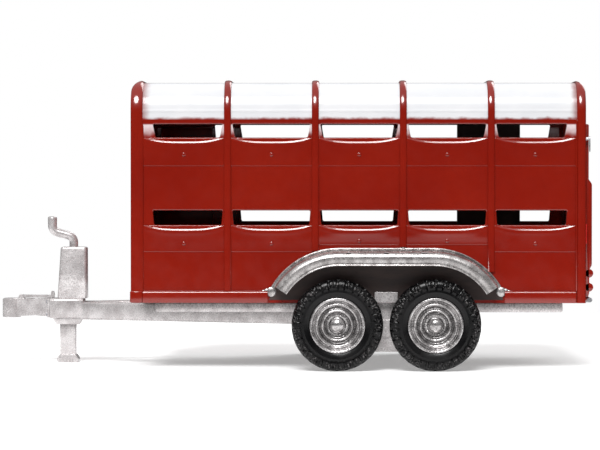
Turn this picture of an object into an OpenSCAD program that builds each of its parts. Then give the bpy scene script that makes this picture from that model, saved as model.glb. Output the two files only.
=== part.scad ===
// Twin-axle livestock trailer: a box body on a ladder chassis, with an A-frame drawbar,
// a rocking bogie, sliding ventilation shutters and a tail ramp. Millimetres.
// -X is forward, towards the coupling, +Z is up and the ground is at z = 0.
// "Left" is the -Y side. Left-hand parts are drawn at -Y and mirrored for the right.

/* [Body] */
// Length of the body over its end frames
body_l = 3640; // [3400:10:3900]
// Width of the body over its side sheets
body_w = 1800; // [1700:10:1840]
// Height of the body from the underside of its floor to its roof
body_h = 1768; // [1700:4:1900]
// Height of the underside of the floor above the ground
floor_z = 536; // [530:1:560]
// Radius of the roof's long edges
roof_r = 240; // [180:10:280]
// Thickness of the side sheets
sheet_t = 3; // [2:0.5:4]
// Spacing of the hoops, which is also the length of a middle bay
hoop_pitch = 703; // [680:1:720]
// Height of the upper ventilation slots
high_slot_h = 144; // [100:2:148]
// Height of the lower ventilation slots
low_slot_h = 116; // [90:2:140]

/* [Running gear] */
// Outer radius of a tyre
tyre_r = 365; // [350:1:370]
// Width of a tyre
tyre_w = 185; // [165:5:190]
// Distance between the two axles
axle_gap = 780; // [770:1:800]
// Radius of the mudguard's curved ends
guard_r = 608; // [590:1:620]
// Depth of the mudguard's outer skirt
skirt_h = 112; // [80:2:140]

/* [Drawbar and jack] */
// Reach of the coupling's nose in front of the body
nose_reach = 1138; // [1100:1:1200]
// Depth of the drawbar's beams
beam_h = 150; // [120:5:160]
// Radius of the socket that takes a 50 mm tow ball
ball_r = 25.3; // [25.1:0.1:25.4]
// Height of the prop-stand's housing
housing_h = 426; // [400:2:450]

/* [Hidden] */
$fn = 64;

// Colours
red = [0.55, 0.10, 0.06];
silver = [0.75, 0.74, 0.74];
roof_white = [0.95, 0.95, 0.96];
dark = [0.17, 0.12, 0.11];
rubber = [0.10, 0.10, 0.11];

// Body
ramp_proud = 66;                              // how far the tail ramp's ribs stand behind the body
overall_l = nose_reach + body_l + ramp_proud;
nose_x = -overall_l / 2;                      // the coupling's nose
front_x = nose_x + nose_reach;                // the front frame's front face
rear_x = front_x + body_l;                    // the rear frame's rear face
mid_x = (front_x + rear_x) / 2 + 10;          // the middle of the hoops
top_z = floor_z + body_h;
side_y = body_w / 2;
gap = 0.4;                                    // between pieces of one sheet that meet edge to edge
floor_t = 20;
frame_proud = 20;                             // how far the frames and hoops stand out of the sheets
frame_lip = 44;                               // thickness of the end frames' inner lip
lip_depth = 60;
front_post_l = 96;
rear_post_l = 72;
end_r = 100;                                  // rounding of the end frames' top edges
sill_h = 96;
sill_proud = 24;
hoop_base = 40;                               // width of a hoop's foot, between the shutters
hoop_w = 56;                                  // width of a hoop's crown, which overhangs them
guide_d = 9;                                  // depth of the shutters' groove
post_w = 79;                                  // width of the sheet left between two slots
end_margin_front = 178;                       // from the front face to the first slot
end_margin_rear = 150;
low_slot_z = 1160;
high_slot_z = 1860;
function hoop_x(k) = mid_x + (k - 1.5) * hoop_pitch;
roof_edge_z = high_slot_z + high_slot_h;
sheet_x0 = front_x + frame_lip + 4;
sheet_x1 = rear_x - frame_lip;

// Running gear
bogie_x = 761;
axle_z = tyre_r;
axle_x = [bogie_x - axle_gap / 2, bogie_x + axle_gap / 2];
wheel_y = 940 + tyre_w / 2;
pivot_z = 300;
pivot_r = 30;
beam_y = 871;                                 // inner face of a rocker beam
beam_t = 25;
axle_s = 50;                                  // side of the square axle beams
stub_r = 20;
run = 0.05;                                   // radial running clearance
wheels = [["front_left", axle_x[0], -1], ["front_right", axle_x[0], 1],
          ["rear_left", axle_x[1], -1], ["rear_right", axle_x[1], 1]];

// Mudguard: a flat top between two arcs
guard_flat = 376;
guard_top = 952;
guard_z = guard_top - guard_r;
flange_cut = 63.4;                            // where the flange on the body stops, in degrees from upright
guard_cut = 57;                               // where the guard over the wheels stops
guard_t = 4;
guard_y = 1143;
flange_h = 25;

// Chassis
rail_y = 800;
rail_w = 60;
rail_h = 76;
tube_t = 4;
rail_x0 = -1088;
rail_x1 = 2176;
cross_x = [-1058, -430, 200, 761, 1400, 2146];
shallow_h = 28;                               // depth of the cross members above the drawbar

// Drawbar, coupling and prop stand
block_x0 = -2023;
block_x1 = -1739;
block_y = 100;
block_z0 = 368;
block_z1 = 534;
bolt_ys = [-76, 76];
bolt_zs = [400, 504];
beam_w = 70;
beam_z = 358;                                 // underside of the drawbar, whose top meets the cross members
beam_end_x = 40;
beam_end_y = 735;
leg_x0 = -1940;
leg_x1 = -1807;
leg_y = 51;
leg_t = 6;
leg_top = 480;
screw_x = (leg_x0 + leg_x1) / 2;
screw_r = 12;
crank_x = screw_x + 46;
crank_r = 34;
grip_x = -2006;
ball_x = nose_x + 75;
lever_pin = [nose_x + 156, 550];

// Tail ramp, inspection door and division gate
ramp_x = rear_x + 2;
ramp_y = 846;
ramp_z0 = 584;
ramp_z1 = 1968;
ramp_skin = 2.5;
ramp_rib_z = [660, 772];
ramp_pin = [rear_x + 36, 560];
latch_y = 883;
latch_z = 1850;
door_x0 = -1170;
door_x1 = -700;
door_z0 = 644;
door_z1 = 1985;
door_pin = [door_x0 - 2, side_y + 19];
door_hinge_z = [700, 1800];
leaf_x0 = 1402;
leaf_x1 = 1942;
leaf_z0 = 575;
leaf_z1 = 1994;
leaf_t = 18;
leaf_pitch = 24;
gate_hinge_z = [700, 1740];
leaf_y = 875;                                 // middle of the first leaf
shutter_t = 8;
shutter_travel = high_slot_h + 4;

// A box between two corners
module box(x, y, z) {
    translate([x[0], y[0], z[0]]) cube([x[1] - x[0], y[1] - y[0], z[1] - z[0]]);
}

// A profile drawn in Y and Z, extruded along X
module along_x(x0, x1) {
    translate([x0, 0, 0]) rotate([90, 0, 90]) linear_extrude(x1 - x0) children();
}

// A profile drawn in X and Z, extruded along Y
module along_y(y0, y1) {
    translate([0, y1, 0]) rotate([90, 0, 0]) linear_extrude(y1 - y0) children();
}

// A cylinder along Y at a point in X and Z
module rod_y(p, r, y0, y1) {
    translate([p[0], y1, p[1]]) rotate([90, 0, 0]) cylinder(r = r, h = y1 - y0);
}

module both_sides() {
    children();
    mirror([0, 1, 0]) children();
}

// The body's cross-section above height z0, grown by g
module outline(g, z0 = floor_z) {
    inner_y = side_y - roof_r;
    inner_z = top_z - roof_r;
    intersection() {
        union() {
            translate([-side_y - g, floor_z]) square([body_w + 2 * g, inner_z - floor_z]);
            translate([-inner_y, floor_z]) square([2 * inner_y, top_z + g - floor_z]);
            for (s = [-1, 1]) translate([s * inner_y, inner_z]) circle(roof_r + g, $fn = 96);
        }
        translate([-2 * side_y, z0]) square([4 * side_y, 2 * body_h]);
    }
}

// A band round the body between two distances from its skin
module band(g0, g1, x0, x1, z0 = floor_z) {
    along_x(x0, x1) difference() {
        outline(g1, z0);
        outline(g0);
        translate([-side_y - g0, floor_z - 10]) square([body_w + 2 * g0, 20]);
    }
}

// The outline of the mudguard's arch for one radius, in X and Z
module dome(r) {
    translate([bogie_x, guard_z]) {
        for (s = [-1, 1]) translate([s * guard_flat, 0]) circle(r, $fn = 128);
        translate([-guard_flat, 0]) square([2 * guard_flat, r]);
    }
}

// The sector of the arch that part of the mudguard covers, up to cut degrees from upright at each end
module guard_sector(cut) {
    reach = 1000;
    dx = guard_flat + reach * sin(cut);
    dz = reach * cos(cut);
    translate([bogie_x, guard_z]) polygon([[-guard_flat, 0], [-dx, dz], [-dx, 2 * reach],
                                           [dx, 2 * reach], [dx, dz], [guard_flat, 0]]);
}

// A square tube along X or Y, with open ends
module tube_x(x, y, z, t) {
    difference() {
        box(x, y, z);
        box([x[0] - 1, x[1] + 1], [y[0] + t, y[1] - t], [z[0] + t, z[1] - t]);
    }
}
module tube_y(x, y, z, t) {
    difference() {
        box(x, y, z);
        box([x[0] + t, x[1] - t], [y[0] - 1, y[1] + 1], [z[0] + t, z[1] - t]);
    }
}

// Chassis

module chassis_frame() {
    color(silver) {
        both_sides() tube_x([rail_x0, rail_x1], [-rail_y - rail_w, -rail_y], [floor_z - rail_h, floor_z], tube_t);
        for (x = cross_x) {
            h = x < 250 ? shallow_h : 60;
            tube_y([x - 30, x + 30], [-rail_y + gap, rail_y - gap], [floor_z - h, floor_z], tube_t);
        }
    }
}

module drawbar() {
    start = [block_x1 - 30, 54];
    run_x = beam_end_x - start[0];
    run_y = beam_end_y - start[1];
    color(silver) difference() {
        union() {
            both_sides() translate([start[0], -start[1], 0]) rotate([0, 0, -atan2(run_y, run_x)])
                tube_x([0, norm([run_x, run_y])], [-beam_w / 2, beam_w / 2], [beam_z, beam_z + beam_h], 5);
            tube_y([beam_end_x - 80, beam_end_x - 20], [-684, 684], [beam_z + 40, beam_z + 100], tube_t);
        }
        box([block_x1 - 100, block_x1], [-200, 200], [beam_z - 1, beam_z + beam_h + 1]);
    }
}

// The hollow block that joins the beams, carries the coupling and guides the prop stand's leg
module nose_block() {
    slide = 1;
    color(silver) difference() {
        union() {
            box([block_x0, block_x1], [-block_y, block_y], [block_z0, block_z1]);
            along_y(-80, 80) polygon([[-1992, block_z0 - 8], [-1970, 318], [-1770, 318], [-1752, block_z0 - 8],
                                      [-1752, block_z0 + 1], [-1992, block_z0 + 1]]);
        }
        box([leg_x0 - slide, leg_x1 + slide], [-leg_y - slide, leg_y + slide], [300, 600]);
        for (y = bolt_ys, z = bolt_zs)
            translate([block_x0 - 1, y, z]) rotate([0, 90, 0]) cylinder(r = 8.5, h = 31);
    }
}

module coupling_head() {
    color(silver) difference() {
        union() {
            translate([ball_x, 0, 376]) cylinder(r = 75, h = 150);
            translate([ball_x, 0, 526]) cylinder(r1 = 75, r2 = 60, h = 8);
            along_y(-58, 58) polygon([[ball_x, 380], [-2150, 392], [block_x0, 380], [block_x0, 534],
                                      [-2150, 530], [ball_x, 534]]);
            box([block_x0 - 17, block_x0], [-92, 92], [376, 528]);
            for (y = [-24, 16]) along_y(y, y + 8)
                polygon([[lever_pin[0] - 30, 530], [lever_pin[0] - 12, 563], [lever_pin[0] + 12, 563],
                         [lever_pin[0] + 30, 530]]);
            rod_y(lever_pin, 6, -24, 24);
        }
        translate([ball_x, 0, 375]) cylinder(r = ball_r, h = 41);
        translate([ball_x, 0, 416]) sphere(r = ball_r);
        for (y = bolt_ys, z = bolt_zs)
            translate([block_x0 - 18, y, z]) rotate([0, 90, 0]) cylinder(r = 8.5, h = 20);
    }
}

module coupling_bolts() {
    color(silver) for (y = bolt_ys, z = bolt_zs) translate([block_x0 - 17, y, z]) {
        rotate([0, 90, 0]) cylinder(r = 8, h = 45);
        rotate([0, -90, 0]) cylinder(r = 14, h = 10, $fn = 6);
    }
}

module coupling_lever() {
    color(silver) difference() {
        union() {
            rod_y(lever_pin, 13, -15, 15);
            along_y(-14, 14) polygon([[lever_pin[0], 538], [-2052, 538], [-2046, 536.5], [-1990, 536.5],
                                      [-1986, 560], [-1994, 592], [-2014, 592], [-2020, 560],
                                      [lever_pin[0], 562]]);
        }
        rod_y(lever_pin, 6 + run, -20, 20);
    }
}

module jack_housing() {
    z1 = block_z1 + housing_h;
    color(silver) difference() {
        union() {
            along_y(-85, 85) polygon([[-1958, block_z1], [-1714, block_z1], [-1716, z1], [-1930, z1]]);
            translate([crank_x, 0, z1 - 1]) cylinder(r = 42, h = 7);
        }
        along_y(-78, 78) polygon([[-1953, block_z1 - 1], [-1720, block_z1 - 1], [-1722, z1 - 14],
                                  [-1926, z1 - 14]]);
        translate([crank_x, 0, z1 - 20]) cylinder(r = 15 + run, h = 40);
    }
}

// The screw that lifts the leg, with the gear that the crank's shaft drives
module jack_screw() {
    gear_z = block_z1 + housing_h - 44;
    color(silver) {
        translate([screw_x, 0, 380]) cylinder(r = screw_r, h = gear_z - 380);
        translate([screw_x, 0, gear_z]) cylinder(r = 22.8, h = 24);
    }
}

module jack_leg() {
    color(silver) difference() {
        union() {
            difference() {
                box([leg_x0, leg_x1], [-leg_y, leg_y], [60, leg_top]);
                box([leg_x0 + leg_t, leg_x1 - leg_t], [-leg_y + leg_t, leg_y - leg_t], [59, leg_top + 1]);
            }
            box([leg_x0 + 1, leg_x1 - 1], [-leg_y + 1, leg_y - 1], [leg_top - 24, leg_top]);
        }
        translate([screw_x, 0, leg_top - 30]) cylinder(r = screw_r + run, h = 40);
    }
}

module jack_foot() {
    half = (leg_x1 - leg_x0) / 2;
    color(silver) difference() {
        along_y(-80, 80) translate([screw_x, 0])
            polygon([[-75, 0], [75, 0], [92, 22], [88, 34], [half, 66], [-half, 66], [-88, 34], [-92, 22]]);
        box([leg_x0 - 1, leg_x1 + 1], [-90, -leg_y - 8], [40, 80]);
        box([leg_x0 - 1, leg_x1 + 1], [leg_y + 8, 90], [40, 80]);
        box([leg_x0 - 0.01, leg_x1 + 0.01], [-leg_y - 0.01, leg_y + 0.01], [60, 80]);
    }
}

module jack_crank() {
    z0 = block_z1 + housing_h + 8;
    elbow = [crank_x, z0 + 66];
    wrist = [grip_x, z0 + 116];
    arm = wrist - elbow;
    color(silver) {
        translate([crank_x, 0, z0 - 52]) cylinder(r = 15, h = 53);
        translate([crank_x, 0, z0 - 52]) cylinder(r = 22.8, h = 24);
        translate([crank_x, 0, z0]) cylinder(r = crank_r + 4, h = elbow[1] - z0);
        translate([elbow[0], 0, elbow[1]]) sphere(r = crank_r + 4);
        translate([elbow[0], 0, elbow[1]]) rotate([0, atan2(arm[0], arm[1]), 0])
            cylinder(r = crank_r, h = norm(arm));
        translate([wrist[0], 0, wrist[1]]) sphere(r = crank_r + 6);
        translate([wrist[0], 0, wrist[1]]) cylinder(r = crank_r + 6, h = 1214 - wrist[1]);
    }
}

// Body

module floor_deck() {
    color(silver) box([front_x + frame_lip, rear_x - frame_lip + 4], [-side_y + 4, side_y - 4], [floor_z, floor_z + floor_t]);
}

module front_wall() {
    color(red) along_x(front_x + frame_lip, front_x + frame_lip + 3) outline(-4.5, floor_z + floor_t + 1);
}

// An end frame: posts and a header that wrap round the ends of the sheets, with an inner lip
module end_frame(x0, x1, lip0, lip1) {
    band(0, frame_proud, x0, x1);
    band(-lip_depth, frame_proud, lip0, lip1);
    box([lip0, lip1], [-side_y - frame_proud, side_y + frame_proud], [floor_z, floor_z + floor_t + 1]);
}

// The strip on a frame's left post that holds a shutter's edge in
module shutter_guide(x0, x1) {
    box([x0, x1], [-side_y - frame_proud, -side_y - guide_d], [floor_z + sill_h, roof_edge_z]);
}

// The side view of a frame whose top corner is rounded where it faces out, dir being -1 for the front
module rounded_end(x_face, dir) {
    z1 = top_z + frame_proud;
    far = x_face - dir * 200;
    polygon([[x_face, floor_z - 1], [x_face, z1 - end_r], [x_face - dir * end_r, z1 - end_r],
             [x_face - dir * end_r, z1], [far, z1], [far, floor_z - 1]]);
    translate([x_face - dir * end_r, z1 - end_r]) circle(end_r);
}

module front_frame() {
    x1 = front_x + front_post_l;
    color(red) {
        intersection() {
            end_frame(front_x, x1, front_x, front_x + frame_lip);
            along_y(-1000, 1000) rounded_end(front_x, -1);
        }
        shutter_guide(x1 - 1, x1 + 8);
        both_sides() box([front_x - 6, x1], [-side_y - sill_proud, -side_y - 1], [floor_z, floor_z + sill_h]);
        for (z = door_hinge_z) {
            for (dz = [-22, 62])
                box([x1 - 8, door_pin[0] + 5], [side_y + 14, side_y + 26], [z + dz, z + dz + 20]);
            translate([door_pin[0], door_pin[1], z - 22]) cylinder(r = 4, h = 104);
        }
    }
}

module rear_frame() {
    x0 = rear_x - rear_post_l;
    color(red) {
        intersection() {
            end_frame(x0, rear_x, rear_x - frame_lip + 4, rear_x);
            along_y(-1000, 1000) rounded_end(rear_x, 1);
        }
        both_sides() shutter_guide(x0 - 8, x0 + 1);
    }
}

module roof() {
    color(roof_white) band(-4, 0, sheet_x0, sheet_x1, roof_edge_z);
}

// Top-hat hoops over the body. Their crowns overhang the edges of the shutters.
module roof_hoops() {
    color(red) difference() {
        for (k = [0 : 3]) translate([hoop_x(k), 0, 0]) {
            band(0, guide_d, -hoop_base / 2, hoop_base / 2, floor_z + sill_h);
            band(guide_d, frame_proud, -hoop_w / 2, hoop_w / 2, floor_z + sill_h);
        }
        along_y(-1000, 1000) {
            dome(guard_r + flange_h + 8);
            translate([bogie_x - 900, floor_z]) square([1800, 100]);
        }
    }
}

module sill_rails() {
    r = 12;
    y = -side_y - sill_proud;
    color(red) both_sides()
        for (x = [[front_x + front_post_l + gap, bogie_x - 948], [bogie_x + 948, rear_x - rear_post_l - 9]]) {
            box(x, [y, -side_y], [floor_z, floor_z + sill_h - r]);
            box(x, [y + r, -side_y], [floor_z, floor_z + sill_h]);
            translate([x[0], y + r, floor_z + sill_h - r]) rotate([0, 90, 0])
                cylinder(r = r, h = x[1] - x[0]);
        }
}

// One side's sheet, as flat pieces that meet edge to edge round the slots. The left side is drawn.
module side_sheet(doorway) {
    y = [-side_y, -side_y + sheet_t];
    x0 = doorway ? door_x1 - 15 : sheet_x0;
    low = [low_slot_z, low_slot_z + low_slot_h];
    high = [high_slot_z, roof_edge_z];
    rows = [low, high];
    box([x0, sheet_x1], y, [floor_z, low[0]]);
    box([x0, sheet_x1], y, [low[1], high[0]]);
    for (r = rows) {
        z = [r[0] + gap, r[1] - gap];
        for (k = [0 : 3]) box([hoop_x(k) - post_w / 2, hoop_x(k) + post_w / 2], y, z);
        box([rear_x - end_margin_rear, sheet_x1], y, z);
        if (!doorway) box([sheet_x0, front_x + end_margin_front], y, z);
    }
    if (doorway) {
        box([sheet_x0, door_x0 + 15], y, [floor_z, roof_edge_z - gap]);
        box([door_x0 + 15 + gap, x0 - gap], y, [floor_z, door_z0 + 15]);
        box([door_x0 + 15 + gap, x0 - gap], y, [door_z1 - 20, roof_edge_z - gap]);
        box([x0, x0 + 25], y, [high[0] + gap, high[1] - gap]);
        box([x0, hoop_x(0) - post_w / 2 - gap], y, [low[0] + gap, low[1] - gap]);
    }
}
module side_sheet_left() { color(red) side_sheet(false); }
module side_sheet_right() { color(red) mirror([0, 1, 0]) side_sheet(true); }

// Both plates of one bay, with their knobs. The left side is drawn.
module shutter(bay) {
    x0 = bay == 0 ? front_x + front_post_l + 1 : hoop_x(bay - 1) + hoop_base / 2 + 1;
    x1 = bay == 4 ? rear_x - rear_post_l - 1 : hoop_x(bay) - hoop_base / 2 - 1;
    over_guard = bay == 2 || bay == 3;
    low_z = over_guard ? 1000 : 944;
    low_knob_z = over_guard ? 1034 : 1012;
    y = -side_y - shutter_t - 0.5;
    plates = [[low_z, low_slot_z - 4, low_knob_z], [high_slot_z - 228, high_slot_z - 4, high_slot_z - 136]];
    for (p = plates) {
        box([x0, x1], [y, y + shutter_t], [p[0], p[1]]);
        rod_y([(x0 + x1) / 2, p[2]], 9, y - 10, y + 1);
        translate([x0 + 10, y, p[1] - 7]) rotate([0, 90, 0]) cylinder(r = 7, h = x1 - x0 - 20);
    }
}

// Running gear

module splash_panel() {
    along_y(-side_y - 3, -side_y) intersection() {
        dome(guard_r - guard_t - 1);
        translate([bogie_x - 1000, floor_z + 24]) square([2000, 600]);
    }
}
module splash_panels() { color(dark) both_sides() splash_panel(); }

module mudguard() {
    along_y(-guard_y, -side_y) intersection() {
        difference() {
            dome(guard_r);
            dome(guard_r - guard_t);
        }
        guard_sector(guard_cut);
    }
    along_y(-guard_y, -guard_y + guard_t) intersection() {
        difference() {
            dome(guard_r);
            dome(guard_r - skirt_h);
        }
        guard_sector(guard_cut);
    }
    along_y(-side_y - guard_t, -side_y) intersection() {
        difference() {
            dome(guard_r + flange_h);
            dome(guard_r - guard_t);
        }
        guard_sector(flange_cut);
    }
}
module mudguard_left() { color(silver) mudguard(); }
module mudguard_right() { color(silver) mirror([0, 1, 0]) mudguard(); }

module mudguard_stays() {
    strap_z = guard_top - guard_t;
    color(silver) both_sides() {
        for (dx = [-300, 0, 300])
            box([bogie_x + dx - 20, bogie_x + dx + 20], [-guard_y + guard_t, -side_y - guard_t], [strap_z - 5, strap_z]);
        box([bogie_x - 92, bogie_x + 92], [-932, -side_y - 3], [floor_z + 4, floor_z + 88]);
    }
}

module bogie_hangers() {
    color(silver) {
        both_sides() {
            along_y(-rail_y - rail_w - 8, -rail_y - rail_w) polygon([[bogie_x - 130, floor_z],
                [bogie_x - 130, floor_z - 90], [bogie_x - 50, pivot_z - 50], [bogie_x + 50, pivot_z - 50],
                [bogie_x + 130, floor_z - 90], [bogie_x + 130, floor_z]]);
            rod_y([bogie_x, pivot_z], 42, -beam_y - beam_t - 12, -beam_y - beam_t - 1);
        }
        rod_y([bogie_x, pivot_z], pivot_r, -beam_y - beam_t - 6, beam_y + beam_t + 6);
    }
}

module rocker_beams() {
    half = axle_gap / 2 + 50;
    seat = axle_z - axle_s / 2;
    color(silver) both_sides() difference() {
        along_y(-beam_y - beam_t, -beam_y) translate([bogie_x, 0])
            polygon([[-half, 262], [-half, seat], [-330, seat], [-120, 400], [120, 400], [330, seat],
                     [half, seat], [half, 262], [330, 250], [110, 144], [-110, 144], [-330, 250]]);
        rod_y([bogie_x, pivot_z], pivot_r + run, -beam_y - beam_t - 1, -beam_y + 1);
    }
}

module axles() {
    end_y = 930;
    color(silver) for (x = axle_x) {
        box([x - axle_s / 2, x + axle_s / 2], [-end_y, end_y], [axle_z - axle_s / 2, axle_z + axle_s / 2]);
        both_sides() rod_y([x, axle_z], stub_r, -wheel_y - 30, -end_y + 1);
    }
}

// A solid of revolution on a wheel's axis. Profiles are drawn as radius and distance outboard.
module turned(w) {
    translate([w[1], w[2] * wheel_y, axle_z]) rotate([w[2] * -90, 0, 0])
        rotate_extrude($fn = 128) children();
}

module tyre(w) {
    half = tyre_w / 2;
    tread = tyre_r;
    outer = [[204.1, 77], [222, 77], [232, 84], [262, 91], [296, half], [326, 90], [346, 83], [358, 74], [tread, 60]];
    inner = [[204.1, 56], [236, 66], [300, 80], [334, 74], [350, 54]];
    color(rubber) turned(w) polygon(concat(
        outer,
        [for (i = [len(outer) - 1 : -1 : 0]) [outer[i][0], -outer[i][1]]],
        [for (p = inner) [p[0], -p[1]]],
        [for (i = [len(inner) - 1 : -1 : 0]) inner[i]]));
}

module stud_places(w) {
    for (a = [0 : 72 : 359]) translate([w[1], w[2] * wheel_y, axle_z]) rotate([w[2] * -90, 0, 0])
        rotate([0, 0, a]) translate([78, 0, 0]) children();
}

module rim(w) {
    color(silver) difference() {
        turned(w) {
            translate([196, -80]) square([8, 160]);
            for (z = [-86, 78]) translate([196, z]) square([24, 8]);
            polygon([[197, 18], [197, 32], [152, 46], [122, 46], [97, 30], [60, 30], [60, 18], [94, 18],
                     [119, 34], [149, 34], [190, 20]]);
        }
        stud_places(w) translate([0, 0, 10]) cylinder(r = 7, h = 30);
    }
}

module hub(w) {
    color(silver) {
        difference() {
            union() {
                turned(w) {
                    translate([0, -96]) square([58, 144]);
                    translate([0, 8]) square([94, 10]);
                    polygon([[0, 47], [36, 47], [36, 58], [26, 68], [0, 72]]);
                }
                stud_places(w) translate([0, 0, 17]) cylinder(r = 6.5, h = 30);
            }
            turned(w) translate([0, -97]) square([stub_r + run, 97 + 36]);
        }
        stud_places(w) translate([0, 0, 30]) difference() {
            cylinder(r = 12, h = 12, $fn = 6);
            translate([0, 0, -1]) cylinder(r = 6.5, h = 14);
        }
    }
}

// Tail

// The ramp's cross-section in X and Z, at a depth d inside its skin
module ramp_section(d) {
    rib_r = 36 - d;
    x = ramp_x + d;
    polygon([[x, ramp_z0 + d], [ramp_x + 20 - d / 2, ramp_z0 + d], [ramp_x + 32 - d, ramp_z0 + 24],
             [ramp_x + 32 - d, 800 + d / 2], [ramp_x + 52 - d, 836 + d / 2], [ramp_x + 52 - d, 1490 - d / 2],
             [ramp_x + 22 - d, 1530 - d / 2], [ramp_x + 22 - d, ramp_z1 - d], [x, ramp_z1 - d]]);
    intersection() {
        for (z = ramp_rib_z) translate([rear_x + ramp_proud - 36, z]) circle(rib_r);
        translate([x, ramp_z0]) square([100, ramp_z1 - ramp_z0]);
    }
}

module ramp_panel() {
    color(red) {
        along_y(-ramp_y, ramp_y) difference() {
            ramp_section(0);
            ramp_section(ramp_skin);
        }
        both_sides() difference() {
            along_y(-ramp_y, -ramp_y + ramp_skin) ramp_section(0);
            rod_y([ramp_x + 12, ramp_z0 + 16], 5, -ramp_y - 1, -ramp_y + ramp_skin + 1);
        }
        for (y = [-650, -215, 215, 650]) difference() {
            union() {
                rod_y(ramp_pin, 19, y - 30, y + 30);
                box([ramp_pin[0] - 26, ramp_pin[0]], [y - 30, y + 30], [ramp_pin[1], ramp_z0 + 1]);
            }
            rod_y(ramp_pin, 10 + run, y - 31, y + 31);
        }
    }
}

module ramp_cleats() {
    color(silver) for (i = [0 : 6])
        box([ramp_x - 16, ramp_x], [-790, 790], [650 + i * 190, 650 + i * 190 + 28]);
}

module ramp_hinge() {
    color(silver) {
        rod_y(ramp_pin, 10, -880, 880);
        for (y = [-866, -430, 0, 430, 866]) {
            half = abs(y) > 800 ? 10 : 30;
            rod_y(ramp_pin, 19, y - half, y + half);
            box([rear_x, ramp_pin[0]], [y - half, y + half], [ramp_pin[1] - 19, ramp_pin[1] - 6]);
        }
    }
}

module ramp_latch() {
    x = ramp_x + 26;
    color(silver) {
        translate([rear_x, -latch_y, latch_z]) rotate([0, 90, 0]) cylinder(r = 14, h = x - rear_x);
        translate([x, -latch_y, latch_z]) rotate([0, 90, 0]) cylinder(r = 18, h = 8);
        box([x, x + 8], [-latch_y - 14, -latch_y + 14], [latch_z - 92, latch_z]);
        translate([x, -latch_y, latch_z - 92]) rotate([0, 90, 0]) cylinder(r = 14, h = 8);
    }
}
module ramp_latch_left() { ramp_latch(); }
module ramp_latch_right() { mirror([0, 1, 0]) ramp_latch(); }

module rear_lamps() {
    color([0.6, 0.05, 0.04]) both_sides()
        box([rear_x, rear_x + 8], [-side_y - 8, -side_y + 46], [1010, 1170]);
}

module inspection_door() {
    y0 = side_y + 1;
    color(red) {
        difference() {
            box([door_x0, door_x1], [y0, y0 + 10], [door_z0, door_z1]);
            translate([-740, y0 - 1, 1300]) rotate([-90, 0, 0]) cylinder(r = 6 + run, h = 12);
        }
        for (z = door_hinge_z) difference() {
            union() {
                translate([door_pin[0], door_pin[1], z]) cylinder(r = 8, h = 60);
                box([door_pin[0], door_x0 + 60], [y0 + 10, y0 + 14], [z, z + 60]);
            }
            translate([door_pin[0], door_pin[1], z - 1]) cylinder(r = 4 + run, h = 62);
        }
    }
}

module door_handle() {
    y0 = side_y + 11;
    color(silver) {
        translate([-740, y0 - 8, 1300]) rotate([-90, 0, 0]) cylinder(r = 6, h = 10);
        translate([-740, y0 + 1, 1300]) rotate([-90, 0, 0]) cylinder(r = 20, h = 14);
        box([-752, -728], [y0 + 5, y0 + 15], [1180, 1300]);
    }
}

// The pins on the wall that carry the folding gate
module gate_bracket() {
    x = leaf_x0 - 6;
    color(silver) for (z = gate_hinge_z) {
        translate([x, leaf_y, z]) cylinder(r = 5.5, h = 60);
        translate([x, leaf_y, z + 50]) cylinder(r = 3, h = 61);
        box([x - 5, x], [leaf_y, side_y - sheet_t], [z, z + 60]);
    }
}

// A leaf of the folding gate. n is 1 to 3. Pins stand at its own far hinge.
module leaf(n) {
    y = leaf_y - (n - 1) * leaf_pitch;
    far_x = n == 2 ? leaf_x0 - 6 : leaf_x1 + 6;
    near_x = n == 2 ? leaf_x1 + 6 : leaf_x0 - 6;
    far_y = y - leaf_pitch / 2;
    near_y = n == 1 ? y : y + leaf_pitch / 2;
    color(dark) {
        box([leaf_x0, leaf_x1], [y - leaf_t / 2, y + leaf_t / 2], [leaf_z0, leaf_z1]);
        for (z = gate_hinge_z) {
            if (n < 3) {
                hinge_half(far_x, far_y, y, z, 0);
                translate([far_x, far_y, z + 50]) cylinder(r = 3, h = 61);
            }
            hinge_half(near_x, near_y, y, z, 61);
        }
    }
}

// Half a leaf's hinge: a barrel at the pin, joined to the leaf's end
module hinge_half(x, y, leaf_mid, z, dz) {
    side = x < leaf_x0 ? 1 : -1;
    bored = dz > 0;
    edge = x + side * 6.5;
    difference() {
        union() {
            translate([x, y, z + dz]) cylinder(r = 5.5, h = 60);
            box([min(x, edge), max(x, edge)], [min(y, leaf_mid) - 2, max(y, leaf_mid) + 2], [z + dz, z + dz + 60]);
        }
        if (bored) translate([x, y, z + dz - 1]) cylinder(r = 3 + run, h = 62);
    }
}
module gate_leaf_1() { leaf(1); }
module gate_leaf_2() { leaf(2); }
module gate_leaf_3() { leaf(3); }

chassis_frame();
drawbar();
nose_block();
coupling_head();
coupling_bolts();
coupling_lever();
jack_housing();
jack_screw();
jack_leg();
jack_foot();
jack_crank();
floor_deck();
front_wall();
front_frame();
rear_frame();
roof();
roof_hoops();
sill_rails();
side_sheet_left();
side_sheet_right();
splash_panels();
mudguard_left();
mudguard_right();
mudguard_stays();
bogie_hangers();
rocker_beams();
axles();
rear_lamps();
ramp_panel();
ramp_cleats();
ramp_hinge();
ramp_latch_left();
ramp_latch_right();
inspection_door();
door_handle();
gate_bracket();
gate_leaf_1();
gate_leaf_2();
gate_leaf_3();
for (w = wheels) {
    tyre(w);
    rim(w);
    hub(w);
}
for (b = [0 : 4])
    color(red) shutter(b);
for (b = [1 : 4])
    color(red) mirror([0, 1, 0]) shutter(b);
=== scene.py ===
"""The livestock trailer's final look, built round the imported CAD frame.

Metres, in the CAD's own frame: -X forward, -Y the left side, +Z up, ground at z = 0.
Pieces that need finer shapes than the CAD's replace its nodes. All others keep the CAD mesh
with rounded edges and a procedural material.
"""
import math

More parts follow.
